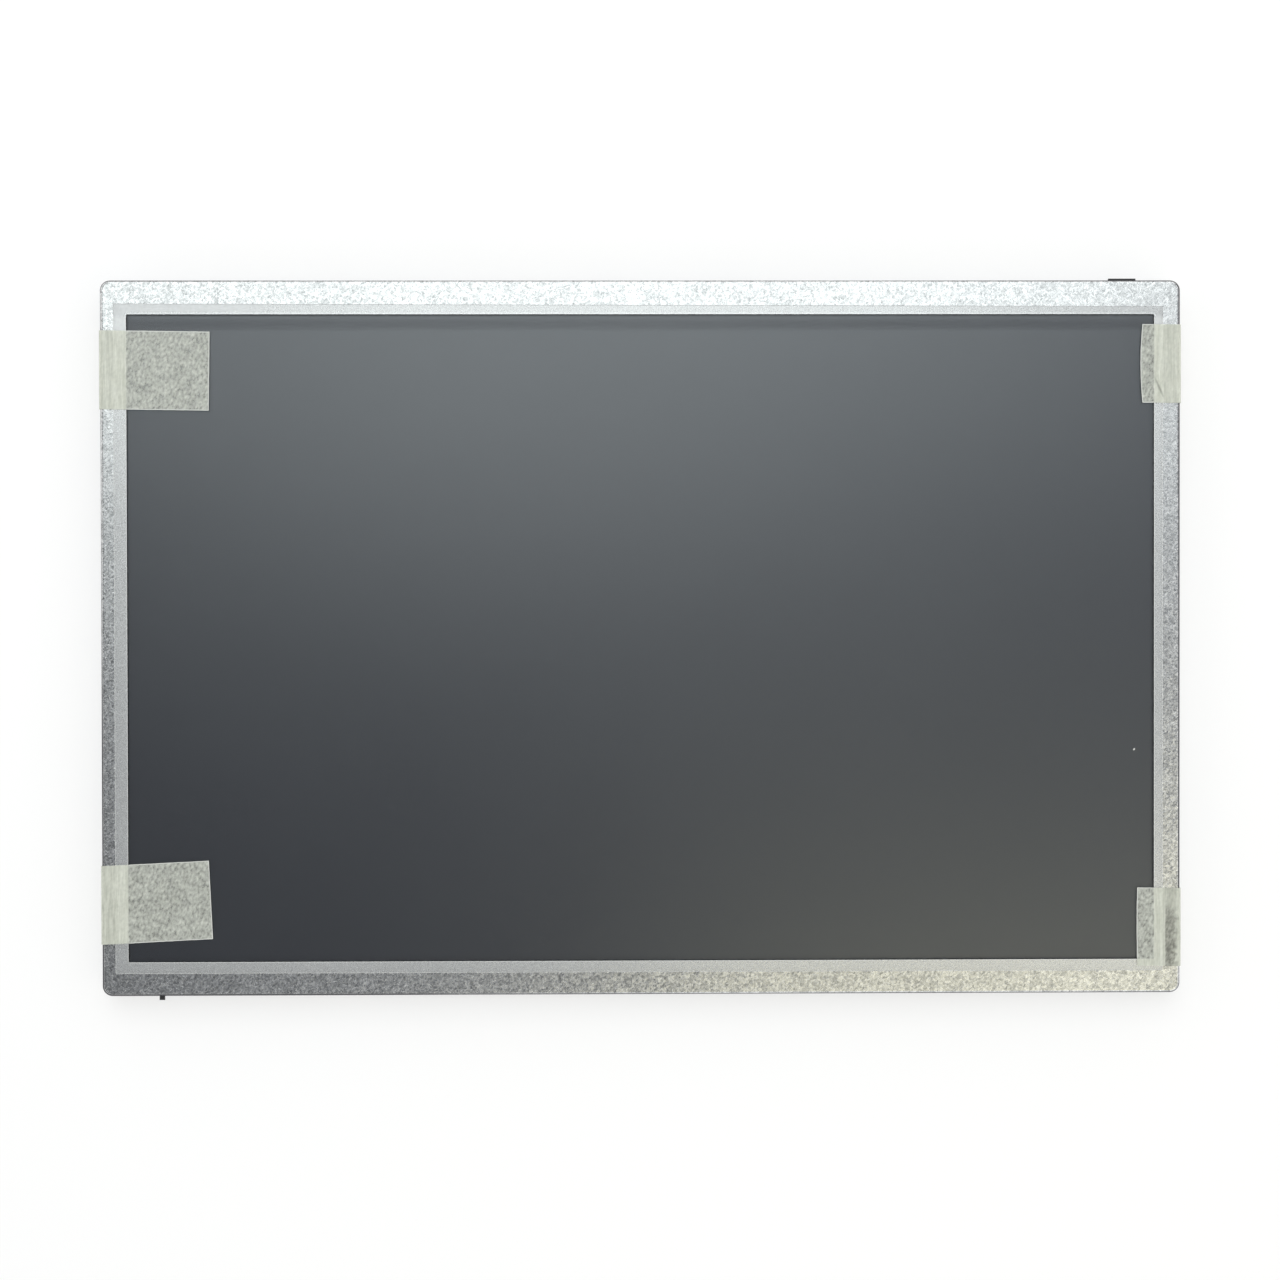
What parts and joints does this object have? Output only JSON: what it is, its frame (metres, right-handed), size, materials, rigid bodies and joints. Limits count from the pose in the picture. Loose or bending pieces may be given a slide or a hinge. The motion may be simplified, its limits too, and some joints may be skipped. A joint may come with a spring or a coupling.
{
  "type": "lcd screen panel",
  "caption": "Flat LCD screen panel in a folded steel bezel, its front film held on by masking tape, for fitting into a device housing by its side walls.",
  "frame": {"origin": "centre of the bounding box on the flat rear face, with the panel lying face up", "axes": "+X along the picture's width to the right, +Y up the picture, +Z out of the screen"},
  "size_m": [0.2782, 0.1856, 0.0093],
  "materials": {
    "zinc_steel": "spangled zinc",
    "film": "matte translucent",
    "tape": "creped masking tape",
    "polarizer": "anti-glare",
    "panel_glass": "thin display glass",
    "black_plastic": "moulded",
    "white_sheet": "matte",
    "prism": "micro-grooved",
    "clear_guide": "polished",
    "driver_flex": "amber film",
    "chip": "moulded",
    "led": "phosphor",
    "bar_flex": "white covered flexible circuit",
    "bracket": "extruded",
    "insulator": "black sheet",
    "board": "green solder mask",
    "socket": "moulded",
    "contact": "plated",
    "inductor": "ferrite",
    "capacitor": "fired",
    "resistor": "fired",
    "screw": "plated"
  },
  "bodies": {
    "root": {"front_bezel": "zinc_steel", "protective_film": "film", "tape_upper_left": "tape", "tape_lower_left": "tape", "tape_upper_right": "tape", "tape_lower_right": "tape", "front_polarizer": "polarizer", "colour_filter_glass": "panel_glass", "array_glass": "panel_glass", "rear_polarizer": "polarizer", "driver_film_1": "driver_flex", "driver_film_2": "driver_flex", "driver_film_3": "driver_flex", "driver_film_4": "driver_flex", "driver_chip_1": "chip", "driver_chip_2": "chip", "driver_chip_3": "chip", "driver_chip_4": "chip", "middle_frame": "black_plastic", "upper_diffuser": "white_sheet", "upper_prism_sheet": "prism", "lower_prism_sheet": "prism", "lower_diffuser": "white_sheet", "light_guide": "clear_guide", "reflector_sheet": "white_sheet", "light_bar_flex": "bar_flex", "light_bar_leds": "led", "light_bar_bracket": "bracket", "rear_chassis": "zinc_steel", "board_insulator": "insulator", "controller_board": "board", "signal_socket": "socket", "signal_socket_contacts": "contact", "backlight_socket": "socket", "backlight_socket_contacts": "contact", "timing_controller": "chip", "memory_chip": "chip", "power_chip": "chip", "backlight_chip": "chip", "power_inductors": "inductor", "filter_capacitors": "capacitor", "chip_capacitors": "capacitor", "chip_resistors": "resistor", "top_screws": "screw", "board_screws": "screw"}
  },
  "joints": []
}
